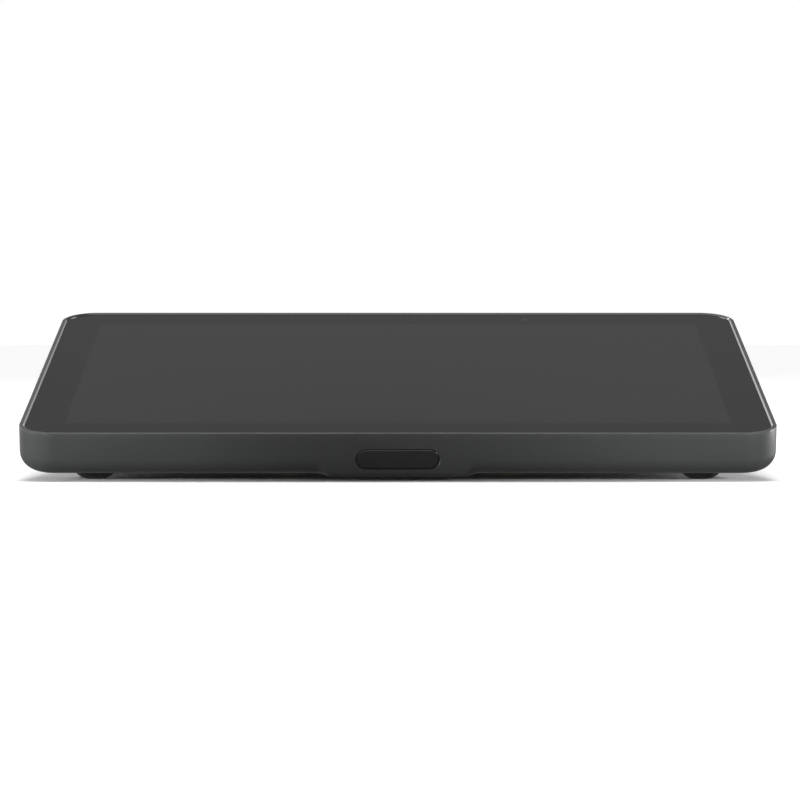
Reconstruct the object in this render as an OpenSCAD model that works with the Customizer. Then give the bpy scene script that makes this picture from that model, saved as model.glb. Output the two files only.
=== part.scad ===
// Tabletop smart display: a 10.1 inch touch panel in a thin rounded body,
// carried at a fixed tilt on a wedge-shaped base that holds the electronics.
// +X is the user's right, -Y faces the user, +Z is up and the table is z = 0.
// "Panel coordinates" are x across, y up the sloping face from its front edge,
// and z along the glass's outward normal, with z = 0 on the rim.

/* [Screen] */
// Width of the lit area
screen_w = 217; // [214:0.5:219]
// Height of the lit area
screen_h = 135.6; // [132:0.2:137]
// Slope of the glass above the table, in degrees
tilt = 14; // [13:0.5:15]

/* [Body] */
// Width of the body
body_w = 246; // [244:0.5:250]
// Depth of the body, measured along the glass
body_d = 166.6; // [165:0.2:170]
// Thickness of the body, square to the glass
body_t = 14.7; // [14.4:0.1:15]
// Plan radius of the body's corners
corner_r = 12; // [11.5:0.5:14]
// Radius of the rounded lower edge
belly_r = 6; // [5.5:0.5:7]
// Height of the front lip above the table
lip_z = 15.4; // [14.8:0.1:15.5]
// Width of the rim around the glass
rim_w = 1.3; // [1:0.1:1.5]
// How far the glass lies below the rim, at the foot of the rim's inner bevel
glass_drop = 0.45; // [0.3:0.05:0.5]

/* [Presence sensor] */
// Length of the pill-shaped window
window_w = 27; // [24:0.5:28]
// Height of the window
window_h = 6.6; // [6:0.1:7]
// Width of the square-edged nose that carries the window
nose_w = 44; // [42:1:50]

/* [Base] */
// Width of the base at the bottom
base_w = 216; // [214:1:218]
// Depth of the base at the bottom
base_d = 131; // [130:0.5:131]
// Outward lean of the base's walls, in degrees
base_draft = 8; // [4:1:8]
// Height of the base's underside above the table
foot_h = 2.5; // [2.3:0.1:2.6]
// Radius of each foot
foot_r = 7; // [5:0.5:7]

/* [Table mount] */
// Hole spacing across, from the 75 x 35 mm display pattern
mount_x = 75; // [75, 70]
// Hole spacing front to back
mount_y = 35; // [35, 30]
// Radius of the threaded bore of each insert
mount_r = 1.65; // [1.25:0.05:1.7]

/* [Hidden] */
$fn = 64;
eps = 0.01; // overlap that keeps a cut clean

// Body in panel coordinates
edge_r = 1.5; // lower edge radius of the nose
nose_flare = 4; // how far each end of the nose splays
body_reach = (body_d - belly_r) * cos(tilt) + (body_t - belly_r) * sin(tilt) + belly_r;
front_y = -hundredth(body_reach / 2);
glass_gap = 0.15;
glass_in = rim_w + glass_drop + glass_gap; // glass edge, in from the body's outline
glass_t = 1.1;
ledge_z = -glass_drop - glass_t - 0.2; // the 0.2 is the gasket
ledge_in = 3.2;
cavity_in = 5;
step_z = -7.6;
floor_t = 2;
floor_z = -body_t + floor_t;

// Display stack, from the glass down
border_z = -glass_drop - glass_t;
touch_z = border_z - 0.1;
lcd_z = touch_z - 0.2;
guide_z = lcd_z - 1.4;
tray_z = guide_z - 2;
tray_t = 0.4;
chassis_z = tray_z - tray_t;
chassis_t = 1.2;
screen_front = 14.2; // from the body's front edge to the lit area
module_w = screen_w + 12;
module_front = screen_front - 3.6;
module_d = screen_h + 7.6;
module_back = module_front + module_d;

// Chassis screws stand in two rows, outside the panel tray
chassis_screw_x = [-90, -30, 30, 90];
chassis_screw_y = [module_front - 2.7, body_d - 7.6];

// Sensors
window_z = -8.7;
light_x = 46.4;
light_y = body_d - 9.4;
antenna_x = 70;

// Openings in the body's floor, for the ribbons and cables
port_x = 38;
port_w = 28;
port_y = 75;
port_d = 26;

// Base, in table coordinates
base_front = front_y + 13.8;
base_back = base_front + base_d;
base_cy = (base_front + base_back) / 2;
base_r = 12;
base_top = 46; // taller than the wedge at its back, trimmed by the body's underside
wall = 2.4;
plate_t = 2;
plate_z = foot_h + plate_t; // top of the base plate
plate_in = 4;
plate_front = base_front + 21;
cavity_front = plate_front + 2;
post_xy = [[100, 60], [100, 132]]; // panel coordinates
shell_screw_xy = concat([[60, 28]], post_xy); // the front pair goes into the solid front
base_screw_xy = [[93, -39], [99, 8], [56, 54]];
mount_cy = -8;
foot_xy_front = [99.3, front_y + 22.5];
foot_xy_rear = [90, 50];
foot_sink = 0.8;
dome_r = 10; // ball radius of a foot's tread

// Cable bay, closed by a cover at the back
bay_w = 92;
bay_wall = 1.6;
bay_front = 26; // face of the panel that carries the sockets
bay_top = 25.4;
cover_gap = 0.3;
cover_t = 2;
cable_notch_r = 8;
head_y = base_back + 0.8;
head_r = 3.6;
screw_x = 36;
screw_z = 13;
screw_r = 1.45;
insert_y = 43;

// Boards
board_z = 6.9;
board_t = 1.6;
board_top = board_z + board_t;
board_w = 100;
board_front = -38;
board_back = bay_front - 0.5;
board_post_xy = [[46, -34], [46, 20]];
power_x = 54;
power_w = 38;
power_y = -16;
power_d = 60;
power_post_xy = [[88, -12], [88, 40]];
chip_xy = [0, -2];
sink_w = 42;
sink_d = 32;
sink_z = 11.9;
sink_top = 15;
jack_x = -32;
jack_w = 16;
jack_d = 20.6;
jack_h = 11.5;
socket_w = 11.8;
socket_h = 6.8;
socket_d = 14;
usb_x = 8.5;
usb_w = 9;
usb_h = 3.3;
reset_x = 24;
reset_z = 12;
reset_r = 1.75;
reset_stem_r = 0.9;
reset_stop = 3.5; // switch face behind the bay wall: the press and a clearance
running_gap = 0.1;
speaker_xy = [-74, 16];
speaker_r = 17;
lock_x = 76;
lock_z = 14;

// ---------- helpers ----------

// Places children in panel coordinates
module in_panel() {
    translate([0, front_y, lip_z]) rotate([tilt, 0, 0]) children();
}

// Rounds to 0.01 mm, so that faces that should meet are written alike
function hundredth(v) = round(100 * v) / 100;

// Box with rounded plan corners, centred in x and y, standing on z = 0
module round_box(w, d, h, r) {
    translate([-w / 2, r - d / 2, 0]) cube([w, d - 2 * r, h]);
    translate([r - w / 2, -d / 2, 0]) cube([w - 2 * r, d, h]);
    for (sx = [-1, 1], sy = [-1, 1])
        translate([sx * (w / 2 - r), sy * (d / 2 - r), 0]) cylinder(h = h, r = r);
}

// Rounded box whose walls lean outwards by draft degrees as they rise
module drafted_box(w, d, h, r, draft) {
    g = hundredth(h * tan(draft));
    rotate([90, 0, 0]) linear_extrude(d - 2 * r, center = true)
        polygon([[-w / 2, 0], [w / 2, 0], [w / 2 + g, h], [-w / 2 - g, h]]);
    rotate([90, 0, 90]) linear_extrude(w - 2 * r, center = true)
        polygon([[-d / 2, 0], [d / 2, 0], [d / 2 + g, h], [-d / 2 - g, h]]);
    for (sx = [-1, 1], sy = [-1, 1])
        translate([sx * (w / 2 - r), sy * (d / 2 - r), 0])
            cylinder(h = h, r1 = r, r2 = r + g);
}

// Plate that follows the body's outline, in panel coordinates
module body_plate(inset, top, bottom) {
    translate([0, body_d / 2, bottom])
        round_box(body_w - 2 * inset, body_d - 2 * inset, top - bottom,
                  max(corner_r - inset, 1));
}

// Slot with round ends, w long and h high, drawn along +Y from y = 0
module pill(w, h, depth) {
    rotate([-90, 0, 0]) {
        for (sx = [-1, 1]) translate([sx * (w - h) / 2, 0, 0]) cylinder(h = depth, r = h / 2);
        translate([-(w - h) / 2, -h / 2, 0]) cube([w - h, h, depth]);
    }
}

// Square-sided block between two corners
module block(a, b) {
    translate(a) cube(b - a);
}

// Directions along a path: into each point, out of it, and the mean of the two
function way_in(p, i) = let (k = max(i, 1), d = p[k] - p[k - 1]) d / norm(d);
function way_out(p, i) = way_in(p, min(i + 1, len(p) - 1));
function way(p, i) = let (d = way_in(p, i) + way_out(p, i)) d / norm(d);

// Flat ribbon, w wide along x and t thick, along points in the y-z plane
module ribbon(p, w, t) {
    // the two edges, mitred at each bend
    side = [for (i = [0 : len(p) - 1]) let (d = way(p, i)) [-d[1], d[0]] / (d * way_in(p, i))];
    edge = [for (i = [0 : len(p) - 1]) p[i] + side[i] * t / 2];
    back = [for (i = [len(p) - 1 : -1 : 0]) p[i] - side[i] * t / 2];
    rotate([90, 0, 90]) linear_extrude(w, center = true) polygon(concat(edge, back));
}

// Round wire of radius r along points, swept with eight sides
module wire(p, r) {
    n = len(p);
    rings = [for (i = [0 : n - 1]) let (
        d = way(p, i), u = cross(d, [1, 0.2, 0]) / norm(cross(d, [1, 0.2, 0])), v = cross(d, u)
    ) for (a = [0 : 45 : 315]) p[i] + r * (cos(a) * u + sin(a) * v)];
    sides = [for (i = [0 : n - 2], k = [0 : 7])
        [8 * i + k, 8 * i + (k + 1) % 8, 8 * i + 8 + (k + 1) % 8, 8 * i + 8 + k]];
    ends = [[for (k = [7 : -1 : 0]) k], [for (k = [0 : 7]) 8 * n - 8 + k]];
    polyhedron(rings, concat(sides, ends));
}

// Screw pointing down from z = 0, with a cylindrical socket head above it
module screw(head_r, head_h, shank_r, length) {
    difference() {
        cylinder(h = head_h, r = head_r);
        translate([0, 0, head_h * 0.4]) cylinder(h = head_h, r = head_r * 0.55, $fn = 6);
    }
    translate([0, 0, -length]) cylinder(h = length + eps, r = shank_r);
}

// Mirrored pair, left and right
module both_sides() {
    for (sx = [-1, 1]) mirror([sx < 0 ? 1 : 0, 0, 0]) children();
}

// ---------- body and display, in panel coordinates ----------

// Section of the body's edge: x runs outwards to the corner radius
module edge_section() {
    difference() {
        union() {
            translate([0, -body_t]) square([corner_r - belly_r, body_t]);
            translate([0, belly_r - body_t]) square([corner_r, body_t - belly_r]);
            translate([corner_r - belly_r, belly_r - body_t]) circle(belly_r);
        }
        translate([-2 * belly_r, -2 * body_t]) square([2 * belly_r, 4 * body_t]);
    }
}

module body_form() {
    long_w = body_w - 2 * corner_r;
    long_d = body_d - 2 * corner_r;
    translate([-long_w / 2, corner_r, -body_t]) cube([long_w, long_d, body_t]);
    for (a = [0 : 90 : 270]) {
        sx = (a == 0 || a == 270) ? 1 : -1;
        sy = a < 180 ? 1 : -1;
        translate([sx * long_w / 2, body_d / 2 + sy * long_d / 2, 0])
            rotate([0, 0, a]) rotate_extrude(angle = 90) edge_section();
    }
    for (sx = [-1, 1]) translate([sx * long_w / 2, body_d / 2, 0])
        rotate([90, 0, sx > 0 ? 0 : 180]) linear_extrude(long_d, center = true) edge_section();
    for (sy = [-1, 1]) translate([0, body_d / 2 + sy * long_d / 2, 0])
        rotate([90, 0, sy > 0 ? 90 : -90]) linear_extrude(long_w, center = true) edge_section();
}

// Fills the rounded lower edge at the middle of the front, with splayed ends
module nose() {
    intersection() {
        rotate([90, 0, 90]) linear_extrude(nose_w + 2 * nose_flare, center = true) {
            translate([edge_r, -body_t]) square([belly_r, belly_r]);
            translate([0, edge_r - body_t]) square([belly_r, belly_r]);
            translate([edge_r, edge_r - body_t]) circle(edge_r);
        }
        translate([0, belly_r, -body_t]) rotate([90, 0, 0]) linear_extrude(2 * belly_r)
            polygon([
                [-nose_w / 2, 0], [nose_w / 2, 0],
                [nose_w / 2 + nose_flare, belly_r + 1], [-nose_w / 2 - nose_flare, belly_r + 1]
            ]);
    }
}

module glass_pocket() {
    w = body_w - 2 * (rim_w + glass_drop);
    d = body_d - 2 * (rim_w + glass_drop);
    translate([0, body_d / 2, -glass_drop])
        drafted_box(w, d, glass_drop + 0.2, corner_r - rim_w - glass_drop, 45);
    body_plate(rim_w + glass_drop, -glass_drop + eps, ledge_z);
}

module housing() color("#4b4d4c") in_panel() {
    difference() {
        union() {
            difference() {
                union() {
                    body_form();
                    nose();
                }
                glass_pocket();
                body_plate(ledge_in, ledge_z + eps, step_z);
                body_plate(cavity_in, step_z + eps, floor_z);
                // clear space behind the presence window
                block([-17, ledge_in, floor_z], [17, cavity_in + 1, -4.4]);
                for (sx = [-1, 1])
                    block([sx * port_x - port_w / 2, port_y - port_d / 2, -body_t - 1],
                          [sx * port_x + port_w / 2, port_y + port_d / 2, floor_z + 1]);
            }
            for (x = chassis_screw_x, y = chassis_screw_y)
                translate([x, y, floor_z - eps])
                    cylinder(h = chassis_z - chassis_t - floor_z + eps, r = 3);
        }
        for (x = chassis_screw_x, y = chassis_screw_y)
            translate([x, y, chassis_z - chassis_t - 4.5]) cylinder(h = 5, r = 0.9);
        for (sx = [-1, 1], p = shell_screw_xy)
            translate([sx * p[0], p[1], -body_t - 1]) cylinder(h = floor_t + 2, r = 1.6);
        translate([0, -1, window_z]) pill(window_w, window_h, ledge_in + 2);
    }
}

module cover_glass() color("#26282a") in_panel()
    body_plate(glass_in, -glass_drop, border_z);

module glass_gasket() color("#141414") in_panel() difference() {
    body_plate(glass_in, border_z, ledge_z);
    body_plate(ledge_in, border_z + 1, ledge_z - 1);
}

module black_border() color("#0d0d0e") in_panel() difference() {
    body_plate(ledge_in, border_z, touch_z);
    block([-screen_w / 2, screen_front, touch_z - 1],
          [screen_w / 2, screen_front + screen_h, border_z + 1]);
    translate([light_x, light_y, touch_z - 1]) cylinder(h = 3, r = 1.5);
}

module touch_sensor() color("#3a3d40") in_panel() {
    block([-module_w / 2, module_front, lcd_z], [module_w / 2, module_back, touch_z]);
    block([-screen_w / 2, screen_front, touch_z - eps],
          [screen_w / 2, screen_front + screen_h, border_z]);
}

module lcd_cell() color("#2b2e33") in_panel()
    block([-module_w / 2, module_front, guide_z], [module_w / 2, module_back, lcd_z]);

module light_guide() color("#e8ecee") in_panel()
    block([-module_w / 2, module_front + 2, tray_z], [module_w / 2, module_back, guide_z]);

module led_strip() color("#f4f0c8") in_panel() {
    block([-module_w / 2 + 3, module_front, tray_z], [module_w / 2 - 3, module_front + 0.6, guide_z]);
    for (i = [-15 : 15])
        block([i * 7 - 1.6, module_front + 0.6 - eps, tray_z + 0.4],
              [i * 7 + 1.6, module_front + 2, guide_z - 0.4]);
}

module panel_tray() color("#b9bdc0") in_panel() difference() {
    block([-module_w / 2 - tray_t, module_front - tray_t, chassis_z],
          [module_w / 2 + tray_t, module_back + tray_t, lcd_z]);
    block([-module_w / 2, module_front, tray_z], [module_w / 2, module_back, lcd_z + 1]);
}

module chassis_plate() color("#8e9396") in_panel() difference() {
    translate([0, body_d / 2, chassis_z - chassis_t])
        round_box(body_w - 10, body_d - 9.6, chassis_t, 7);
    // notches for the presence sensor, the touch ribbon and the antenna cables
    block([-21, 0, -20], [21, module_front - tray_t, 0]);
    block([-52, 0, -20], [-36, module_front - tray_t, 0]);
    for (sx = [-1, 1]) block([sx * antenna_x - 4, module_back + 1, -20], [sx * antenna_x + 4, body_d, 0]);
    // windows that save weight and let the ribbons through
    for (x = [-75, 0, 75], y = [50, 110])
        translate([x, y, -20]) round_box(44, 36, 20, 5);
    for (x = chassis_screw_x, y = chassis_screw_y)
        translate([x, y, -20]) cylinder(h = 20, r = 1.1);
}

module chassis_screws() color("#3c3f42") in_panel()
    for (x = chassis_screw_x, y = chassis_screw_y)
        translate([x, y, chassis_z]) screw(1.9, 0.9, 0.85, 4);

module display_board() color("#1f5a3c") in_panel() {
    top = chassis_z - chassis_t;
    block([-62, 134, top - 1], [62, 148, top]);
    for (x = [-50, -25, 0, 50]) block([x - 5, 137, top - 2.2], [x + 5, 144, top - 1 + eps]);
}

module display_flex() color("#b5762a") in_panel() translate([port_x - 3, 0, 0]) {
    plug_z = chassis_z - chassis_t - 1.35; // just under the board
    ribbon([[136, plug_z], [88, plug_z], [77, -11], [74.5, -16], [74.3, -23.6]], 18, 0.3);
}

module touch_flex() color("#b5762a") in_panel() translate([-44, 0, 0])
    ribbon([[module_front, touch_z - 0.1], [9.4, touch_z - 0.1], [9.2, touch_z - 0.5],
            [9.2, -7.6], [11, -8.4], [60, -8.4], [70, -11], [74, -16], [74.3, -23.6]], 11, 0.16);

module light_sensor_board() color("#1f5a3c") in_panel() translate([light_x, light_y, 0]) {
    block([-7, -2.6, -4.1], [7, 3, -3.3]);
    block([-1.1, -1.1, -3.3 - eps], [1.1, 1.1, -2.6]);
    for (sx = [-1, 1]) block([sx * 5.5 - 1, -2.4, chassis_z], [sx * 5.5 + 1, 2.6, -4.1 + eps]);
}

module light_sensor_pipe() color("#9aa0a4") in_panel()
    translate([light_x, light_y, -2.6]) cylinder(h = border_z + 2.6, r = 1.4);

module presence_window() color("#1a1a1b") in_panel() translate([0, 0, window_z]) {
    translate([0, 0.15, 0]) pill(window_w - 0.2, window_h - 0.2, ledge_in);
    translate([0, ledge_in, 0]) pill(window_w + 4, window_h + 1, 1.2);
}

module presence_sensor_board() color("#1f5a3c") in_panel() {
    block([-19, 8.2, floor_z], [19, 9.4, -2.6]);
    block([-6, 9.4 - eps, -12], [6, 10.1, -9]);
}

module presence_sensor() color("#c9ccce") in_panel() for (sx = [-1, 1])
    translate([sx * 6, 8.2, window_z]) rotate([90, 0, 0]) {
        cylinder(h = 0.6, r = 3.4);
        cylinder(h = 3.2, r = 2.8);
    }

module antenna(side) color("#2a2a2a") in_panel() translate([side * antenna_x, 0, 0]) {
    block([-15, module_back + 1.4, chassis_z], [-4.5, module_back + 7, -2.6]);
    block([4.5, module_back + 1.4, chassis_z], [15, module_back + 7, -2.6]);
    block([-4.5 - eps, module_back + 1.4, -3.6], [4.5 + eps, module_back + 7, -2.6]);
}

module antenna_cables() color("#303236") in_panel() {
    y = module_back + 4.2;
    wire([[-antenna_x, y, -3.9], [-antenna_x, y, -9], [-66, 150, -10.2], [-44, 100, -10.5],
          [-30, 84, -11.5], [-30, 80, -16], [-30, 80, -24.7]], 0.55);
    wire([[antenna_x, y, -3.9], [antenna_x, y, -9], [66, 150, -10.2], [56, 100, -10.5],
          [49, 84, -11.5], [49, 80, -16], [49, 80, -24.7]], 0.55);
}

// ---------- base, in table coordinates ----------

module under_body() in_panel()
    translate([-body_w, -body_d, -body_t - 100]) cube([2 * body_w, 3 * body_d, 100]);

module base_form(inset) intersection() {
    translate([0, base_cy, foot_h])
        drafted_box(base_w - 2 * inset, base_d - 2 * inset, base_top, base_r - inset, base_draft);
    under_body();
}

// Outline of the recess for the base plate
module plate_form(inset, z0, z1) {
    back = base_back - plate_in;
    d = back - plate_front - 2 * inset;
    translate([0, plate_front + inset + d / 2, z0])
        round_box(base_w - 2 * plate_in - 2 * inset, d, z1 - z0, 9);
}

module bay_space(grow, top) {
    half = bay_w / 2 + grow;
    block([-half, bay_front + bay_wall - grow, plate_z], [half, base_back + 20, top]);
}

// Where a rib at y, in panel coordinates, ends inside the leaning side wall
function rib_end(y) = base_w / 2 - 0.8
    + (lip_z + y * sin(tilt) - (body_t + 7.5) * cos(tilt) - foot_h) * tan(base_draft);

module base_shell() color("#2c2d2e") difference() {
    union() {
        difference() {
            base_form(0);
            // main cavity, behind the solid front that carries the feet
            intersection() {
                base_form(wall);
                block([-base_w, cavity_front, plate_z + 2], [base_w, 2 * base_d, 2 * base_top]);
            }
            plate_form(2, plate_z - eps, plate_z + 2 + eps);
            plate_form(0, foot_h - 1, plate_z);
        }
        intersection() {
            bay_space(bay_wall, bay_top + bay_wall);
            base_form(0.5);
        }
        // posts for the screws from the body above and the plate below
        in_panel() for (sx = [-1, 1], p = post_xy)
            translate([sx * p[0], p[1], -body_t - 8]) cylinder(h = 8, r = 3.4);
        for (sx = [-1, 1], p = base_screw_xy)
            translate([sx * p[0], p[1], plate_z]) cylinder(h = 5, r = 3.4);
        // ribs from the posts to the walls
        both_sides() {
            for (p = post_xy) in_panel()
                block([p[0] + 1.3, p[1] - 1.9, -body_t - 7.5], [rib_end(p[1]), p[1] + 1.9, -body_t]);
            block([94, -42, plate_z], [106.8, -36, 9]);
            block([100, 5.5, plate_z], [106.8, 10.5, 10]);
            block([46.5, 51.5, plate_z], [55, 56.5, 10]);
        }
    }
    difference() {
        bay_space(0, bay_top);
        // boss that holds the cover's threaded insert
        block([screw_x - 4, insert_y, plate_z - 1], [bay_w, insert_y + 6, screw_z + 3.6]);
    }
    at_cover_screw(insert_y - 1) cylinder(h = 8, r = 2.2);
    // socket openings and the reset button's bore
    block([jack_x - 7.5, bay_front - 1, 9.1], [jack_x + 7.5, bay_front + 3, 19.6]);
    translate([usb_x, bay_front - 1, board_top + usb_h / 2]) pill(10.4, 4.4, 4);
    translate([reset_x, bay_front - 1, reset_z]) rotate([-90, 0, 0])
        cylinder(h = 4, r = reset_r + running_gap);
    in_panel() for (sx = [-1, 1], p = shell_screw_xy)
        translate([sx * p[0], p[1], -body_t - 4]) cylinder(h = 5, r = 1.3);
    for (sx = [-1, 1], p = base_screw_xy)
        translate([sx * p[0], p[1], plate_z - 1]) cylinder(h = 5.2, r = 1.3);
    for (sx = [-1, 1]) translate([sx * foot_xy_front[0], foot_xy_front[1], foot_h - 1])
        cylinder(h = foot_sink + 1, r = foot_r);
    // security slot and air slots in the back wall
    translate([lock_x, base_back - 6, lock_z]) pill(7, 3, 20);
    for (i = [0 : 8])
        translate([4.2 * i - 90, base_back - 6, 17]) rotate([0, 90, 0]) pill(14, 1.8, 20);
}

module countersink(r) {
    translate([0, 0, -eps]) cylinder(h = 1.6, r1 = r + 1.6, r2 = r);
    cylinder(h = 20, r = r);
}

module base_plate() color("#232425") difference() {
    union() {
        plate_form(0.15, foot_h, plate_z);
        for (sx = [-1, 1], p = board_post_xy)
            translate([sx * p[0], p[1], plate_z - eps]) cylinder(h = board_z - plate_z + eps, r = 3);
        for (p = power_post_xy)
            translate([p[0], p[1], plate_z - eps]) cylinder(h = board_z - plate_z + eps, r = 3);
        for (sx = [-1, 1], sy = [-1, 1])
            translate([sx * mount_x / 2, mount_cy + sy * mount_y / 2, plate_z - eps])
                cylinder(h = 2.3, r = 4.4);
    }
    for (sx = [-1, 1], p = board_post_xy) translate([sx * p[0], p[1], 3.4]) cylinder(h = 9, r = 1);
    for (p = power_post_xy) translate([p[0], p[1], 3.4]) cylinder(h = 9, r = 1);
    for (sx = [-1, 1], sy = [-1, 1])
        translate([sx * mount_x / 2, mount_cy + sy * mount_y / 2, foot_h - 1])
            cylinder(h = 5, r = 2.9);
    for (sx = [-1, 1], p = base_screw_xy) translate([sx * p[0], p[1], foot_h]) countersink(1.6);
    for (sx = [-1, 1]) translate([sx * foot_xy_rear[0], foot_xy_rear[1], foot_h - 1])
        cylinder(h = foot_sink + 1, r = foot_r);
    // air slots under the heat sink, and the speaker's slots
    for (i = [-4 : 4]) translate([i * 5.4, chip_xy[1] - 6, 0]) slot_y(2, 24, 20);
    for (i = [-5 : 5]) {
        half = sqrt(13 * 13 - pow(i * 2.4, 2));
        translate([speaker_xy[0] + i * 2.4, speaker_xy[1], 0]) slot_y(1.2, 2 * half, 20);
    }
}

// Upright slot of width w and length l along y, cut from z = 0 up
module slot_y(w, l, h) {
    for (sy = [-1, 1]) translate([0, sy * (l - w) / 2, 0]) cylinder(h = h, r = w / 2);
    translate([-w / 2, -(l - w) / 2, 0]) cube([w, l - w, h]);
}

module shell_screws() color("#3c3f42") in_panel()
    for (sx = [-1, 1], p = shell_screw_xy) translate([sx * p[0], p[1], floor_z]) screw(2.6, 1.5, 1.25, 5.5);

module base_screws() color("#3c3f42") for (sx = [-1, 1], p = base_screw_xy)
    translate([sx * p[0], p[1], foot_h]) difference() {
        union() {
            cylinder(h = 1.55, r1 = 3.1, r2 = 1.55);
            cylinder(h = 6, r = 1.25);
        }
        translate([0, 0, -eps]) cylinder(h = 1, r = 1.3, $fn = 6);
    }

module mount_inserts() color("#c79a3c") for (sx = [-1, 1], sy = [-1, 1])
    translate([sx * mount_x / 2, mount_cy + sy * mount_y / 2, foot_h]) difference() {
        cylinder(h = 4, r = 2.9);
        translate([0, 0, -1]) cylinder(h = 6, r = mount_r);
    }

module foot(xy, side) color("#1c1c1c") translate([side * xy[0], xy[1], 0]) {
    intersection() {
        translate([0, 0, dome_r - 0.37]) sphere(dome_r);
        cylinder(h = foot_h, r = foot_r);
    }
    translate([0, 0, foot_h - eps]) cylinder(h = foot_sink + eps, r = foot_r);
}

// ---------- electronics, in table coordinates ----------

module main_board() color("#1f5a3c") difference() {
    block([-board_w / 2, board_front, board_z], [board_w / 2, board_back, board_top]);
    for (sx = [-1, 1], p = board_post_xy) translate([sx * p[0], p[1], 0]) cylinder(h = 20, r = 1.3);
}

module on_chip() translate([chip_xy[0], chip_xy[1], 0]) children();

module processor() color("#17181a") on_chip() block([-7, -7, board_top], [7, 7, board_top + 1.4]);

module memory_chips() color("#17181a") {
    for (x = [-15, 15]) on_chip() block([x - 4, -6, board_top], [x + 4, 6, board_top + 1]);
    block([-34, -30, board_top], [-22, -20, board_top + 1]);
}

module shield_can() color("#c4c8ca") on_chip() difference() {
    block([-20, -15, board_top], [20, 15, board_top + 2.6]);
    block([-19.7, -14.7, board_top - 1], [19.7, 14.7, board_top + 2.35]);
}

module thermal_pads() color("#7fa6b8") on_chip() {
    block([-7, -7, board_top + 1.4], [7, 7, board_top + 2.35]);
    block([-15, -12, board_top + 2.6], [15, 12, sink_z]);
}

module heat_sink() color("#a9adb0") on_chip() {
    block([-sink_w / 2, -sink_d / 2, sink_z], [sink_w / 2, sink_d / 2, sink_z + 1.4]);
    for (i = [0 : 13])
        block([-sink_w / 2 + i * 3.15, -sink_d / 2, sink_z + 1.4 - eps],
              [-sink_w / 2 + i * 3.15 + 1, sink_d / 2, sink_top]);
}

module board_connectors() color("#e6e2d6") {
    // sockets for the display ribbon, the touch ribbon and the two antenna cables
    block([port_x - 14, -6.2, board_top], [port_x + 8, -1.8, board_top + 1.5]);
    block([-51 + 1, -6.2, board_top], [-37, -1.8, board_top + 1.5]);
    for (x = [-30, 47]) block([x - 1.5, -0.5, board_top], [x + 1.5, 2.5, board_top + 1.3]);
    block([-20, -36, board_top], [-4, -32, board_top + 2]);
}

module board_screws() color("#3c3f42") {
    for (sx = [-1, 1], p = board_post_xy)
        translate([sx * p[0], p[1], board_top]) screw(2.2, 1.4, 0.95, 4.5);
    for (p = power_post_xy) translate([p[0], p[1], board_top]) screw(2.2, 1.4, 0.95, 4.5);
}

module network_jack() color("#b4b8bb") translate([jack_x, bay_front, board_top]) difference() {
    block([-jack_w / 2, -jack_d, 0], [jack_w / 2, 0, jack_h]);
    block([-socket_w / 2, -socket_d, 2.4], [socket_w / 2, 1, 2.4 + socket_h]);
    block([-3.1, -socket_d + 3, 1], [3.1, 1, 3]);
}

module jack_contacts() color("#d8b24a") translate([jack_x, bay_front, board_top])
    for (i = [-3.5 : 3.5]) translate([i * 1.02, -socket_d, 2.4 + socket_h])
        block([-0.2, 0, -1.6], [0.2, 8, -1.2]);

module usb_jack() color("#b4b8bb") translate([usb_x, bay_front, board_top + usb_h / 2]) {
    difference() {
        translate([0, -7.5, 0]) pill(usb_w, usb_h, 7.5);
        translate([0, -6.5, 0]) pill(usb_w - 0.6, usb_h - 0.6, 8);
    }
    block([-3.3, -6.6, -0.35], [3.3, -0.8, 0.35]);
}

module reset_switch() color("#34373a") difference() {
    block([reset_x - 3, bay_front - 8, board_top], [reset_x + 3, bay_front - reset_stop, reset_z + 2.5]);
    translate([reset_x, bay_front - 5, reset_z]) rotate([-90, 0, 0])
        cylinder(h = 5, r = reset_stem_r + running_gap);
}

module power_board() color("#1f5a3c") difference() {
    block([power_x, power_y, board_z], [power_x + power_w, power_y + power_d, board_top]);
    for (p = power_post_xy) translate([p[0], p[1], 0]) cylinder(h = 20, r = 1.3);
}

module power_transformer() color("#3a3226") {
    block([60, 14, board_top], [78, 30, board_top + 3]);
    block([61, 16, board_top + 3 - eps], [77, 28, board_top + 9]);
    block([60, 14, board_top + 9 - eps], [78, 30, board_top + 11]);
}

module power_capacitors() color("#23303e") for (p = [[62, 38], [72, 38], [64, 2]])
    translate([p[0], p[1], board_top]) cylinder(h = 8, r = 3.9);

module link_connector() color("#1b1b1b")
    block([46, -14, board_top], [59, -8, board_top + 3]);

module at_speaker() translate([speaker_xy[0], speaker_xy[1], plate_z]) children();

module speaker_gasket() color("#141414") at_speaker() difference() {
    cylinder(h = 0.8, r = speaker_r);
    translate([0, 0, -1]) cylinder(h = 3, r = 14);
}

module speaker_frame() color("#2a2a2a") at_speaker() difference() {
    translate([0, 0, 0.8]) union() {
        cylinder(h = 1.2, r = speaker_r);
        cylinder(h = 6, r1 = 14.8, r2 = 10.6);
    }
    translate([0, 0, 0.7]) cylinder(h = 6.2, r1 = 13.6, r2 = 9.6);
    translate([0, 0, 3]) cylinder(h = 10, r = 4.2);
}

module speaker_cone() color("#3b3b3d") at_speaker() translate([0, 0, 1]) difference() {
    cylinder(h = 3.4, r1 = 13.2, r2 = 4.2);
    translate([0, 0, -0.4]) cylinder(h = 3.4, r1 = 13.2, r2 = 4.2);
}

module speaker_magnet() color("#8e9396") at_speaker() translate([0, 0, 6.8]) cylinder(h = 4, r = 9);

module lock_plate() color("#a4a8aa") difference() {
    intersection() {
        base_form(wall);
        block([lock_x - 12, base_back - 12, 7], [lock_x + 12, base_back + 6, 24]);
    }
    base_form(wall + 1.5);
    translate([lock_x, base_back - 8, lock_z]) pill(7, 3, 16);
}

// ---------- cable cover and its captive screw ----------

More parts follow.
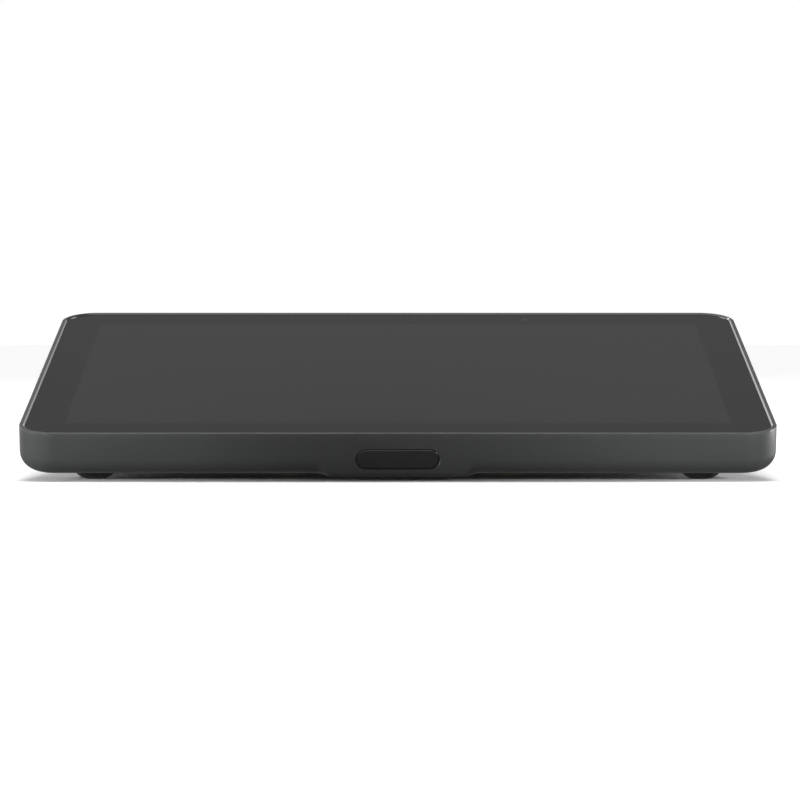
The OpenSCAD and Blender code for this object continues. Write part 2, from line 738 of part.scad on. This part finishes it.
module at_cover_screw(y) translate([screw_x, y, screw_z]) rotate([-90, 0, 0]) children();

module cover_insert() color("#c79a3c") difference() {
    at_cover_screw(insert_y) cylinder(h = 6, r = 2.2);
    at_cover_screw(insert_y - 1) cylinder(h = 8, r = screw_r + 0.05);
}

module cable_cover() color("#2c2d2e") {
    half = bay_w / 2 - cover_gap;
    difference() {
        intersection() {
            base_form(0);
            block([-half, base_back - 6, plate_z + cover_gap], [half, base_back + 20, bay_top - cover_gap]);
        }
        base_form(cover_t);
        at_cover_screw(base_back - 10) cylinder(h = 30, r = screw_r + 0.1);
        at_cover_screw(head_y) cylinder(h = 10, r = head_r + 0.4);
        translate([0, base_back - 10, plate_z]) rotate([-90, 0, 0]) cylinder(h = 30, r = cable_notch_r);
    }
    // tongues that guide the cover in the bay
    for (sx = [-1, 1]) block([sx > 0 ? half - 1.4 : -half, base_back - 13, 9],
                             [sx > 0 ? half : -half + 1.4, base_back - 1, 20]);
}

module cover_screw() color("#9a9ea1") {
    at_cover_screw(head_y) difference() {
        cylinder(h = 3.4, r = head_r);
        translate([-0.6, -5, 2.4]) cube([1.2, 10, 2]);
        for (a = [0 : 20 : 340])
            rotate([0, 0, a]) translate([head_r + 0.15, 0, 1.2]) cylinder(h = 6, r = 0.35);
    }
    at_cover_screw(insert_y + 1) cylinder(h = head_y - insert_y, r = screw_r);
}

module reset_button() color("#8c2b26") translate([reset_x, 0, reset_z]) rotate([-90, 0, 0]) {
    translate([0, 0, bay_front - 2.8]) cylinder(h = 4.2, r = reset_r);
    translate([0, 0, bay_front - 4.2]) cylinder(h = 1.5, r = reset_stem_r);
}

housing();
cover_glass();
glass_gasket();
black_border();
touch_sensor();
lcd_cell();
light_guide();
led_strip();
panel_tray();
chassis_plate();
chassis_screws();
display_board();
display_flex();
touch_flex();
light_sensor_board();
light_sensor_pipe();
presence_window();
presence_sensor_board();
presence_sensor();
antenna(-1);  // antenna_left
antenna(1);  // antenna_right
antenna_cables();
base_shell();
base_plate();
shell_screws();
base_screws();
mount_inserts();
foot(foot_xy_front, -1);  // foot_front_left
foot(foot_xy_front, 1);  // foot_front_right
foot(foot_xy_rear, -1);  // foot_rear_left
foot(foot_xy_rear, 1);  // foot_rear_right
main_board();
processor();
memory_chips();
shield_can();
thermal_pads();
heat_sink();
board_connectors();
board_screws();
network_jack();
jack_contacts();
usb_jack();
reset_switch();
power_board();
power_transformer();
power_capacitors();
link_connector();
speaker_gasket();
speaker_frame();
speaker_cone();
speaker_magnet();
lock_plate();
cover_insert();
cable_cover();
cover_screw();
reset_button();
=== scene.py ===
"""Looks for the tabletop touch display: detailed shells, procedural finishes, studio and camera.

Lengths are metres. "Panel coordinates" are x across, s up the sloping face from its front
edge and n along the glass's outward normal, with n = 0 on the rim.
"""
import math

import bmesh
import bpy
from mathutils import Matrix, Vector


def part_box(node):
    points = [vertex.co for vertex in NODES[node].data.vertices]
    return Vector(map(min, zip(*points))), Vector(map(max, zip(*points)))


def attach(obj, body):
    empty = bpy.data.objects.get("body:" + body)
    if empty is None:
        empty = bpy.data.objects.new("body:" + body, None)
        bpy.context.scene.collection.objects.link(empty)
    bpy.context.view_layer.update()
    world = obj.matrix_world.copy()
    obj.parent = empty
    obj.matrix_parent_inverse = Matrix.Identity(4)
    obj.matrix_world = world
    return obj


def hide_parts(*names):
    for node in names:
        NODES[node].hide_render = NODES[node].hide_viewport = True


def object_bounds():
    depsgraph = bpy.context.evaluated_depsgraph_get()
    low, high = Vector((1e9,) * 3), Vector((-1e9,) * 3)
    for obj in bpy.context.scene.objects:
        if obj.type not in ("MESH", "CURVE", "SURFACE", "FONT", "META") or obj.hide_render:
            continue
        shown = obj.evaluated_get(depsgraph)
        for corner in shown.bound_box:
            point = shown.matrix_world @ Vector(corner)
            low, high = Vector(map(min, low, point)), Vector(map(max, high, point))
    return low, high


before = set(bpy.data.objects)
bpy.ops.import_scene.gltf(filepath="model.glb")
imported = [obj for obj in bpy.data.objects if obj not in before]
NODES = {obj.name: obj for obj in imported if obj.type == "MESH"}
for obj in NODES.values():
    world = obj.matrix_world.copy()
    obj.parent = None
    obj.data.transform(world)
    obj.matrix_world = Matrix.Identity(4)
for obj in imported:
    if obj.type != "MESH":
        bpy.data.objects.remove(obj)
cad_low, cad_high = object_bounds()
MM = 0.001

# ---------------------------------------------------------------- sizes
TILT = math.radians(14)
FRONT_Y = cad_low.y
LIP_Z = 15.4 * MM
BODY_W = cad_high.x - cad_low.x
BODY_D = 166.6 * MM
BODY_T = 14.7 * MM
CORNER_R = 12 * MM
BELLY_R = 6 * MM
NOSE_R = 1.5 * MM
NOSE_HALF = 21.7 * MM
NOSE_BLEND = 4.2 * MM
RIM_W = 1.3 * MM
RIM_CROWN = 0.09 * MM
GLASS_DROP = 0.45 * MM
GLASS_IN = 1.79 * MM
GLASS_T = 1.1 * MM
LEDGE_N = -1.75 * MM
SCREEN_W = 217 * MM
SCREEN_D = 135.6 * MM
SCREEN_FRONT = 14.2 * MM
WINDOW_W = 27 * MM
WINDOW_H = 6.6 * MM
WINDOW_N = -8.7 * MM
SENSOR_XS = (46.4 * MM, BODY_D - 9.4 * MM)

PANEL = Matrix.Translation((0, FRONT_Y, LIP_Z)) @ Matrix.Rotation(TILT, 4, "X")


# ---------------------------------------------------------------- node helpers
def material(name):
    mat = bpy.data.materials.new(name)
    mat.use_nodes = True
    tree = mat.node_tree
    shader = tree.nodes["Principled BSDF"]
    return mat, tree, shader


def node(tree, kind, inputs=None, **settings):
    n = tree.nodes.new(kind)
    for key, value in settings.items():
        setattr(n, key, value)
    for key, value in (inputs or {}).items():
        if isinstance(value, bpy.types.NodeSocket):
            tree.links.new(value, n.inputs[key])
        else:
            n.inputs[key].default_value = value
    return n


def coords(tree):
    return node(tree, "ShaderNodeTexCoord").outputs["Object"]


def noise(tree, scale, detail=3, roughness=0.55, vector=None, distortion=0.0):
    return node(tree, "ShaderNodeTexNoise", {
        "Vector": vector or coords(tree), "Scale": scale, "Detail": detail,
        "Roughness": roughness, "Distortion": distortion}).outputs["Fac"]


def spread(tree, value, low, high, to_low=0.0, to_high=1.0):
    return node(tree, "ShaderNodeMapRange", {
        "Value": value, "From Min": low, "From Max": high, "To Min": to_low, "To Max": to_high,
    }, clamp=True).outputs["Result"]


def mixed(tree, fac, a, b):
    n = node(tree, "ShaderNodeMix", data_type="RGBA")
    for socket, value in ((n.inputs["Factor"], fac), (n.inputs[6], a), (n.inputs[7], b)):
        if isinstance(value, bpy.types.NodeSocket):
            tree.links.new(value, socket)
        else:
            socket.default_value = value
    return n.outputs[2]


def math_node(tree, operation, a, b=0.0):
    n = node(tree, "ShaderNodeMath", operation=operation)
    for socket, value in ((n.inputs[0], a), (n.inputs[1], b)):
        if isinstance(value, bpy.types.NodeSocket):
            tree.links.new(value, socket)
        else:
            socket.default_value = value
    return n.outputs[0]


def bump(tree, shader, height, distance, strength=1.0):
    n = node(tree, "ShaderNodeBump", {"Height": height, "Distance": distance, "Strength": strength})
    tree.links.new(n.outputs["Normal"], shader.inputs["Normal"])


def grey(value, cool=0.0):
    return (value * (1 - cool), value * (1 + 0.4 * cool), value, 1.0)


# ---------------------------------------------------------------- finishes
def painted_plastic(name, base, rough, grain_scale, grain_depth, highlight_gain=0.0, variation=0.08, cool=0.02,
                    gloss=0.5, tint=(1, 1, 1)):
    """Moulded plastic or paint: fine grain, slow tone changes, and a painted highlight in patches
    that lightens the colour where the mesh carries an "edge" attribute."""
    def shade(value):
        return tuple(c * t for c, t in zip(grey(value, cool), tint + (1,)))

    mat, tree, shader = material(name)
    slow = noise(tree, 18, 2)
    fine = noise(tree, grain_scale, 2, 0.6)
    tone = spread(tree, slow, 0.3, 0.7)
    colour = mixed(tree, tone, shade(base * (1 - variation)), shade(base * (1 + variation)))
    speckle = spread(tree, fine, 0.35, 0.65, 0.0, 0.35)
    colour = mixed(tree, speckle, colour, shade(base * 1.35))
    # painted highlight: the colour is lightened on the marked edges, broken into patches
    if highlight_gain:
        edge = node(tree, "ShaderNodeAttribute", attribute_name="edge").outputs["Fac"]
        patchy = spread(tree, noise(tree, 260, 3), 0.35, 0.7, 0.35, 1.0)
        painted_highlight = math_node(tree, "MULTIPLY", edge, patchy)
        colour = mixed(tree, painted_highlight, colour, shade(base * (1 + highlight_gain)))
    tree.links.new(colour, shader.inputs["Base Color"])
    smudge = spread(tree, noise(tree, 42, 4, 0.65), 0.3, 0.75, rough - 0.05, rough + 0.07)
    tree.links.new(smudge, shader.inputs["Roughness"])
    shader.inputs["Specular IOR Level"].default_value = gloss
    bump(tree, shader, fine, grain_depth, 0.6)
    return mat


def rubber():
    mat, tree, shader = material("rubber")
    fine = noise(tree, 2600, 3, 0.7)
    colour = mixed(tree, spread(tree, noise(tree, 120, 3), 0.35, 0.7), grey(0.016), grey(0.034))
    tree.links.new(colour, shader.inputs["Base Color"])
    tree.links.new(spread(tree, fine, 0.3, 0.7, 0.66, 0.85), shader.inputs["Roughness"])
    bump(tree, shader, fine, 0.00005, 0.8)
    return mat


def metal(name, colour, rough, brushed=0.0, scale=900, grain=0.00002):
    mat, tree, shader = material(name)
    shader.inputs["Metallic"].default_value = 1.0
    vector = coords(tree)
    if brushed:
        stretch = node(tree, "ShaderNodeMapping", {"Vector": vector, "Scale": (brushed, 1.0, 1.0)})
        vector = stretch.outputs["Vector"]
    fine = noise(tree, scale, 3, 0.6, vector)
    dark = tuple(c * 0.8 for c in colour) + (1.0,)
    tree.links.new(mixed(tree, spread(tree, fine, 0.3, 0.7), dark, tuple(colour) + (1.0,)),
                   shader.inputs["Base Color"])
    tree.links.new(spread(tree, fine, 0.3, 0.7, rough * 0.8, rough * 1.25), shader.inputs["Roughness"])
    bump(tree, shader, fine, grain, 0.5)
    return mat


def circuit_board():
    mat, tree, shader = material("circuit_board")
    vector = coords(tree)
    tracks = node(tree, "ShaderNodeTexBrick", {
        "Vector": vector, "Scale": 260.0, "Mortar Size": 0.06, "Color1": grey(0.2), "Color2": grey(0.6),
        "Mortar": grey(1.0)}, offset=0.37, squash=1.6).outputs["Color"]
    copper = spread(tree, tracks, 0.2, 1.0, 0.0, 0.75)
    colour = mixed(tree, copper, (0.008, 0.06, 0.03, 1), (0.02, 0.13, 0.06, 1))
    tree.links.new(colour, shader.inputs["Base Color"])
    shader.inputs["Roughness"].default_value = 0.35
    bump(tree, shader, tracks, 0.00004, 0.6)
    return mat


def display_glass():
    """Switched-off display under clear glass: black ink border, a slightly lighter lit area
    with a fine cell grid, and faint wipe marks in the gloss."""
    mat, tree, shader = material("display_glass")
    place = node(tree, "ShaderNodeAttribute", attribute_name="panel").outputs["Vector"]
    split = node(tree, "ShaderNodeSeparateXYZ", {"Vector": place})
    x, s = split.outputs["X"], split.outputs["Y"]
    off_x = math_node(tree, "SUBTRACT", math_node(tree, "ABSOLUTE", x), SCREEN_W / 2)
    centre_s = SCREEN_FRONT + SCREEN_D / 2
    off_s = math_node(tree, "SUBTRACT", math_node(tree, "ABSOLUTE", math_node(tree, "SUBTRACT", s, centre_s)),
                      SCREEN_D / 2)
    outside = math_node(tree, "MAXIMUM", off_x, off_s)
    lit = spread(tree, outside, -0.00012, 0.00012, 1.0, 0.0)
    grid = node(tree, "ShaderNodeTexBrick", {
        "Vector": place, "Scale": 1500.0, "Mortar Size": 0.12, "Color1": grey(0.55), "Color2": grey(0.62),
        "Mortar": grey(0.3)}, offset=0.0).outputs["Color"]
    cell = mixed(tree, spread(tree, grid, 0.2, 0.7), grey(0.014, 0.02), grey(0.022, 0.02))
    spot_x = math_node(tree, "SUBTRACT", x, SENSOR_XS[0])
    spot_s = math_node(tree, "SUBTRACT", s, SENSOR_XS[1])
    spot_r = math_node(tree, "SQRT", math_node(
        tree, "ADD", math_node(tree, "MULTIPLY", spot_x, spot_x), math_node(tree, "MULTIPLY", spot_s, spot_s)))
    spot = spread(tree, spot_r, 0.0012, 0.0015, 1.0, 0.0)
    colour = mixed(tree, lit, grey(0.0085), cell)
    colour = mixed(tree, spot, colour, grey(0.03))
    tree.links.new(colour, shader.inputs["Base Color"])
    wipes = node(tree, "ShaderNodeMapping", {"Vector": place, "Scale": (1.0, 3.2, 1.0), "Rotation": (0, 0, 0.4)})
    marks = noise(tree, 26, 5, 0.7, wipes.outputs["Vector"], 0.6)
    tree.links.new(spread(tree, marks, 0.35, 0.8, 0.055, 0.12), shader.inputs["Roughness"])
    shader.inputs["IOR"].default_value = 1.5
    return mat


def window_plastic():
    mat, tree, shader = material("sensor_window")
    colour = mixed(tree, spread(tree, noise(tree, 90, 2), 0.3, 0.7), grey(0.009), grey(0.012))
    tree.links.new(colour, shader.inputs["Base Color"])
    tree.links.new(spread(tree, noise(tree, 60, 3), 0.3, 0.7, 0.12, 0.18), shader.inputs["Roughness"])
    shader.inputs["IOR"].default_value = 1.48
    return mat


# the body's edge gain paints a highlight on the rim land and lip
BODY = painted_plastic("graphite_satin", 0.030, 0.38, 5200, 0.00003, highlight_gain=0.3, cool=0.03, gloss=0.35)
BASE = painted_plastic("base_plastic", 0.036, 0.56, 2400, 0.00006, highlight_gain=0.5)
NYLON = painted_plastic("black_nylon", 0.022, 0.50, 1800, 0.00004)
FOAM = painted_plastic("seal_foam", 0.018, 0.85, 1500, 0.0001)
CHIP = painted_plastic("chip_epoxy", 0.016, 0.55, 2200, 0.00003)
IVORY = painted_plastic("ivory_nylon", 0.62, 0.45, 1800, 0.00003)
PAPER = painted_plastic("treated_paper", 0.05, 0.85, 1200, 0.00008)
PAD = painted_plastic("thermal_pad", 0.33, 0.7, 1500, 0.00004, cool=0.12)
ACRYLIC = painted_plastic("acrylic", 0.72, 0.2, 900, 0.00001)
RED = painted_plastic("button_red", 0.25, 0.35, 2600, 0.00002, tint=(1, 0.1, 0.08))
RUBBER = rubber()
GLASS = display_glass()
BRIGHT_CUT = metal("bright_cut_bevel", (0.75, 0.76, 0.76), 0.16, scale=2400, grain=0.0000005)
WINDOW = window_plastic()
STEEL = metal("zinc_steel", (0.62, 0.63, 0.64), 0.32)
TURNED = metal("turned_steel", (0.58, 0.59, 0.6), 0.26)
DARK_STEEL = metal("black_oxide", (0.14, 0.145, 0.15), 0.38)
TIN = metal("tinned_sheet", (0.66, 0.67, 0.68), 0.3, brushed=0.08)
ALUMINIUM = metal("aluminium_sheet", (0.6, 0.61, 0.62), 0.38, brushed=0.06)
BRASS = metal("brass", (0.72, 0.5, 0.2), 0.3)
GOLD = metal("gold_flash", (0.85, 0.62, 0.25), 0.22)
BOARD = circuit_board()


# ---------------------------------------------------------------- mesh helpers
def outline(inset, steps=24, extra=()):
    """Rounded-rectangle loop in panel coordinates, counter-clockwise seen from above,
    as (x, s) pairs. extra are x positions that the front edge also has points at."""
    half_w = BODY_W / 2 - inset
    half_d = BODY_D / 2 - inset
    r = max(CORNER_R - inset, 0.0003)
    points = []
    centres = ((half_w - r, half_d - r, 0), (r - half_w, half_d - r, 90),
               (r - half_w, r - half_d, 180), (half_w - r, r - half_d, 270))
    for cx, cs, start in centres:
        for k in range(steps + 1):
            a = math.radians(start + 90 * k / steps)
            points.append((cx + r * math.cos(a), BODY_D / 2 + cs + r * math.sin(a)))
        if start == 180:
            points.extend((x, BODY_D / 2 - half_d) for x in extra)
    return points


def loft(bm, rings, closed_start=True, closed_end=True):
    loops = [[bm.verts.new(p) for p in ring] for ring in rings]
    count = len(loops[0])
    for a, b in zip(loops, loops[1:]):
        for i in range(count):
            j = (i + 1) % count
            bm.faces.new((a[i], a[j], b[j], b[i]))
    if closed_start:
        bm.faces.new(list(reversed(loops[0])))
    if closed_end:
        bm.faces.new(loops[-1])
    return loops


def add_object(name, bm, mat, smooth_angle=35):
    bmesh.ops.recalc_face_normals(bm, faces=bm.faces)
    mesh = bpy.data.meshes.new(name)
    bm.to_mesh(mesh)
    bm.free()
    mesh.materials.append(mat)
    obj = bpy.data.objects.new(name, mesh)
    bpy.context.scene.collection.objects.link(obj)
    for polygon in mesh.polygons:
        polygon.use_smooth = True
    mesh.set_sharp_from_angle(angle=math.radians(smooth_angle))
    return obj


def apply_modifiers(obj):
    evaluated = obj.evaluated_get(bpy.context.evaluated_depsgraph_get())
    mesh = bpy.data.meshes.new_from_object(evaluated)
    obj.modifiers.clear()
    obj.data = mesh
    return obj


def cut(obj, *cutters):
    for cutter in cutters:
        m = obj.modifiers.new("cut", "BOOLEAN")
        m.operation = "DIFFERENCE"
        m.solver = "EXACT"
        m.object = cutter
        bpy.context.view_layer.update()
        apply_modifiers(obj)
        bpy.data.objects.remove(cutter)
    obj.data.set_sharp_from_angle(angle=math.radians(30))
    return obj


def pill_loop(w, h, steps=16):
    """Pill outline centred on the origin, as (across, up) pairs."""
    r = h / 2
    points = []
    for cx, start in ((w / 2 - r, -90), (r - w / 2, 90)):
        for k in range(steps + 1):
            a = math.radians(start + 180 * k / steps)
            points.append((cx + r * math.cos(a), r * math.sin(a)))
    return points


def smoothstep(t):
    t = min(max(t, 0.0), 1.0)
    return t * t * (3 - 2 * t)


# ---------------------------------------------------------------- body
def fillet_at(x, s):
    """Radius of the body's lower edge: small round the nose, large everywhere else."""
    if s > BODY_D / 2:
        return BELLY_R
    away = smoothstep((abs(x) - NOSE_HALF) / NOSE_BLEND)
    return NOSE_R + (BELLY_R - NOSE_R) * away


def body_shell():
    """A tray: outside skin up over the rim and down to the cavity's floor."""
    nose_x = [(-60 + 1.0 * k) * MM for k in range(0, 121)]
    ring0 = outline(0, extra=nose_x)

    def at(inset, n):
        return [(x, s, n) for x, s in outline(inset, extra=nose_x)]

    def fillet_ring(angle):
        ring = []
        for x, s in ring0:
            r = fillet_at(x, s)
            inset = r * (1 - math.cos(angle))
            n = -(BODY_T - r) - r * math.sin(angle)
            # move inwards along the outline's own normal
            cx = max(abs(x) - (BODY_W / 2 - CORNER_R), 0) * (1 if x > 0 else -1)
            cs = s - BODY_D / 2
            cs = max(abs(cs) - (BODY_D / 2 - CORNER_R), 0) * (1 if cs > 0 else -1)
            out = Vector((cx, cs))
            if abs(x) >= BODY_W / 2 - 1e-7 and cs == 0:
                out = Vector((1 if x > 0 else -1, 0))
            out.normalize()
            ring.append((x - out.x * inset, s - out.y * inset, n))
        return ring

    def lip_ring(turn):
        """Rounded outer top edge, softer along the rear."""
        ring = []
        for (x, s), (ex, es) in zip(outline(0, extra=nose_x), outline(1 * MM, extra=nose_x)):
            r = (0.2 + 0.5 * smoothstep((s - BODY_D + 14 * MM) / (12 * MM))) * MM
            inset = r * (1 - math.cos(turn))
            n = -r * (1 - math.sin(turn)) - RIM_CROWN
            ring.append((x + (ex - x) * inset / MM, s + (es - s) * inset / MM, n))
        return ring

    def crown(inset):
        return -RIM_CROWN * max(1 - (inset - 0.2 * MM) / (RIM_W - 0.2 * MM), 0) ** 2

    foot_in = RIM_W + GLASS_DROP
    rings = [at(3.2 * MM, -6 * MM), at(3.2 * MM, LEDGE_N), at(foot_in, LEDGE_N),
             at(foot_in, -GLASS_DROP - 0.1 * MM), at(foot_in, -GLASS_DROP), at(RIM_W, 0)]
    cut_ring = len(rings) - 1
    for inset in (1.05, 0.8, 0.6, 0.4):
        rings.append(at(inset * MM, crown(inset * MM)))
    for k in range(0, 7):
        rings.append(lip_ring(math.radians(75 * (1 - k / 6))))
    rim_end = len(rings)
    rings.append(at(0, -2.5 * MM))
    rings.append(at(0, -5 * MM))
    for k in range(0, 13):
        rings.append(fillet_ring(math.radians(90 * k / 12)))
    bm = bmesh.new()
    edge = bm.verts.layers.float.new("edge")
    loops = loft(bm, rings)
    # the rim land and lip carry the edge attribute; there the body's finish paints a highlight
    for loop in loops[cut_ring + 1:rim_end]:
        for v in loop:
            v[edge] = 1.0
    polished = set(loops[cut_ring - 1]) | set(loops[cut_ring])
    for face in bm.faces:
        if len(face.verts) == 4 and all(v in polished for v in face.verts):
            face.material_index = 1
    bmesh.ops.transform(bm, matrix=PANEL, verts=bm.verts)
    shell = add_object("body_shell", bm, BODY, 30)
    shell.data.materials.append(BRIGHT_CUT)
    return shell


def window_cutter(grow, depth, flare):
    """Recess for the sensor window, flared at the front face."""
    wide, tight = 2 * (grow + flare), 2 * grow
    sections = ((-0.002, wide), (0.0, wide), (flare or depth / 2, tight), (depth, tight))
    bm = bmesh.new()
    loft(bm, [[(x, s, WINDOW_N + n) for x, n in pill_loop(WINDOW_W + g, WINDOW_H + g)]
              for s, g in sections])
    bmesh.ops.transform(bm, matrix=PANEL, verts=bm.verts)
    return add_object("cutter", bm, BODY)


def sensor_window():
    """Window with a softly crowned face and a rounded edge, in its own recess."""
    profile = ((2.6, 0.17), (1.6, 0.18), (0.9, 0.2), (0.4, 0.27), (0.12, 0.4), (0.0, 0.62), (0.0, 3.0))
    bm = bmesh.new()
    loft(bm, [[(x, depth * MM, WINDOW_N + n) for x, n in pill_loop(WINDOW_W - shrink * MM, WINDOW_H - shrink * MM)]
              for shrink, depth in profile])
    bmesh.ops.transform(bm, matrix=PANEL, verts=bm.verts)
    return add_object("sensor_window_lens", bm, WINDOW, 50)


def glass_plate():
    """Cover glass. Its "panel" attribute holds each point's panel coordinates."""
    rings = []
    for inset, n in ((GLASS_IN, -GLASS_T), (GLASS_IN, -0.05 * MM), (GLASS_IN + 0.05 * MM, 0)):
        rings.append([(x, s, n - GLASS_DROP) for x, s in outline(inset)])
    bm = bmesh.new()
    place = bm.verts.layers.float_vector.new("panel")
    loft(bm, rings)
    for v in bm.verts:
        v[place] = v.co
    bmesh.ops.transform(bm, matrix=PANEL, verts=bm.verts)
    return add_object("glass_plate", bm, GLASS, 20)


def foot_pad(name):
    """Domed rubber foot with a small flat and a rounded collar, from its CAD solid's place."""
    low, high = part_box(name)
    cx, cy = (low.x + high.x) / 2, (low.y + high.y) / 2
    r = (high.x - low.x) / 2
    profile = [(0.0, 0.0), (2.5, 0.0), (3.2, 0.06), (4.0, 0.32), (4.8, 0.76), (5.6, 1.3), (6.3, 1.92),
               (6.75, 2.5), (6.95, 2.9), (7.0, 3.3)]
    scale = r / (7.0 * MM)
    bm = bmesh.new()
    rings = []
    for pr, pz in profile[1:]:
        rings.append([(cx + pr * MM * scale * math.cos(a), cy + pr * MM * scale * math.sin(a), low.z + pz * MM)
                      for a in (2 * math.pi * k / 48 for k in range(48))])
    loft(bm, rings)
    return add_object(name + "_pad", bm, RUBBER, 40)


body = body_shell()
cut(body, window_cutter(0.04 * MM, 3.6 * MM, 0.22 * MM))
lens = sensor_window()
glass = glass_plate()
feet = [foot_pad(n) for n in ("foot_front_left", "foot_front_right", "foot_rear_left", "foot_rear_right")]

detailed = [(body, "housing", "body_shell"), (lens, "presence_window", "sensor_window"),
            (glass, "cover_glass", "cover_glass")]
detailed.extend((pad, pad.name.removesuffix("_pad"), "rubber_foot") for pad in feet)
for obj, cad_node, slot in detailed:
    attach(obj, "display")
    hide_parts(cad_node)

# ---------------------------------------------------------------- CAD nodes that stay
KEPT = {
    BASE: ("base_shell", "base_plate", "cable_cover"),
    FOAM: ("glass_gasket", "speaker_gasket"),
    NYLON: ("black_border", "antenna_left", "antenna_right", "antenna_cables", "reset_switch",
            "link_connector", "speaker_frame", "power_transformer"),
    CHIP: ("processor", "memory_chips", "touch_sensor", "lcd_cell"),
    ACRYLIC: ("light_guide", "led_strip", "light_sensor_pipe"),
    TIN: ("panel_tray", "shield_can", "presence_sensor", "network_jack", "usb_jack"),
    ALUMINIUM: ("chassis_plate", "heat_sink", "power_capacitors", "speaker_magnet"),
    DARK_STEEL: ("chassis_screws", "shell_screws", "base_screws", "board_screws"),
    STEEL: ("lock_plate",),
    TURNED: ("cover_screw",),
    BRASS: ("mount_inserts", "cover_insert"),
    GOLD: ("jack_contacts", "display_flex", "touch_flex"),
    BOARD: ("display_board", "light_sensor_board", "presence_sensor_board", "main_board", "power_board"),
    IVORY: ("board_connectors",),
    PAD: ("thermal_pads",),
    PAPER: ("speaker_cone",),
    RED: ("reset_button",),
}
for mat, names in KEPT.items():
    for name in names:
        NODES[name].data.materials.clear()
        NODES[name].data.materials.append(mat)


# ---------------------------------------------------------------- studio
def floor():
    bpy.ops.mesh.primitive_plane_add(size=60, location=(0, 0, 0))
    plane = bpy.context.object
    plane.name = "floor"
    mat, tree, shader = material("floor_white")
    shader.inputs["Base Color"].default_value = (0.92, 0.92, 0.92, 1)
    shader.inputs["Roughness"].default_value = 0.9
    shader.inputs["Specular IOR Level"].default_value = 0.0
    plane.data.materials.append(mat)
    plane.visible_glossy = False


def sky():
    """Light tent: white round the horizon, dim above, and dark below for the gloss to pick up."""
    world = bpy.data.worlds.new("studio")
    bpy.context.scene.world = world
    world.use_nodes = True
    tree = world.node_tree
    tree.nodes.clear()
    direction = node(tree, "ShaderNodeTexCoord").outputs["Generated"]
    up = node(tree, "ShaderNodeSeparateXYZ", {"Vector": direction}).outputs["Z"]
    ramp = node(tree, "ShaderNodeValToRGB", {"Fac": spread(tree, up, -1.0, 1.0)})
    stops = ramp.color_ramp.elements
    levels = ((0.0, 0.10), (0.25, 0.25), (0.45, 0.35), (0.49, 1.0), (0.64, 1.0), (0.70, 0.185), (1.0, 0.185))
    while len(stops) < len(levels):
        stops.new(0.5)
    for stop, (position, value) in zip(stops, levels):
        stop.position = position
        stop.color = (value, value, value, 1)
    right = node(tree, "ShaderNodeSeparateXYZ", {"Vector": direction}).outputs["X"]
    back = node(tree, "ShaderNodeBackground", {
        "Color": ramp.outputs["Color"], "Strength": spread(tree, right, 0.15, 0.35, 1.0, 0.35)})
    out = node(tree, "ShaderNodeOutputWorld")
    tree.links.new(back.outputs["Background"], out.inputs["Surface"])


def softbox(name, location, target, size, power):
    light = bpy.data.lights.new(name, "AREA")
    light.shape = "RECTANGLE"
    light.size, light.size_y = size
    light.energy = power
    obj = bpy.data.objects.new(name, light)
    bpy.context.scene.collection.objects.link(obj)
    obj.location = location
    obj.rotation_euler = (Vector(target) - Vector(location)).to_track_quat("-Z", "Y").to_euler()


def spot(name, location, target, cone, power):
    """Low lamp that fades towards the middle of the front."""
    light = bpy.data.lights.new(name, "SPOT")
    light.energy = power
    light.spot_size = math.radians(cone)
    light.spot_blend = 1.0
    light.shadow_soft_size = 0.02
    obj = bpy.data.objects.new(name, light)
    bpy.context.scene.collection.objects.link(obj)
    obj.location = location
    obj.rotation_euler = (Vector(target) - Vector(location)).to_track_quat("-Z", "Y").to_euler()


def overhead(strength, spread_angle, toward):
    """Even light from a large ceiling panel, so that the floor is white all the way back.
    It is left out of reflections, where it would light up the rear bevel."""
    light = bpy.data.lights.new("overhead", "SUN")
    light.energy = strength
    light.angle = math.radians(spread_angle)
    obj = bpy.data.objects.new("overhead", light)
    bpy.context.scene.collection.objects.link(obj)
    obj.rotation_euler = Vector(toward).to_track_quat("-Z", "Y").to_euler()
    obj.visible_glossy = False


def camera():
    cam = bpy.data.cameras.new("camera")
    cam.lens = 148.95
    cam.sensor_width = 36
    cam.clip_start = 0.01
    obj = bpy.data.objects.new("camera", cam)
    bpy.context.scene.collection.objects.link(obj)
    obj.location = (0.0007, -1.145, 0.0453)
    obj.rotation_euler = (math.radians(90 - 1.03), 0, 0)
    bpy.context.scene.camera = obj


floor()
sky()
overhead(2.7, 36, (0, -0.31, -1))
softbox("back_top", (0, 1.15, 1.64), (0, 0, 0.02), (1.6, 0.5), 5.8)
softbox("left_strip", (-0.70, -0.225, 0.06), (-0.12, -0.08, 0.01), (0.25, 0.1), 2.0)
softbox("right_strip", (0.66, 0.18, 0.06), (0.12, -0.08, 0.01), (0.25, 0.1), 4.0)
softbox("back_left", (-1.3, 1.6, 1.0), (-0.1, 0, 0.03), (0.8, 0.6), 10.0)
softbox("front_fill", (0, -2.2, 0.6), (0, -0.08, 0.01), (1.2, 0.4), 3.0)
spot("left_end", (-0.40, -0.55, 0.09), (-0.15, -0.08, 0.008), 22, 13.0)
spot("right_end", (0.40, -0.55, 0.10), (0.15, -0.08, 0.008), 26, 16.0)
camera()
bpy.context.scene.view_settings.view_transform = "Standard"
bpy.context.scene.view_settings.look = "None"
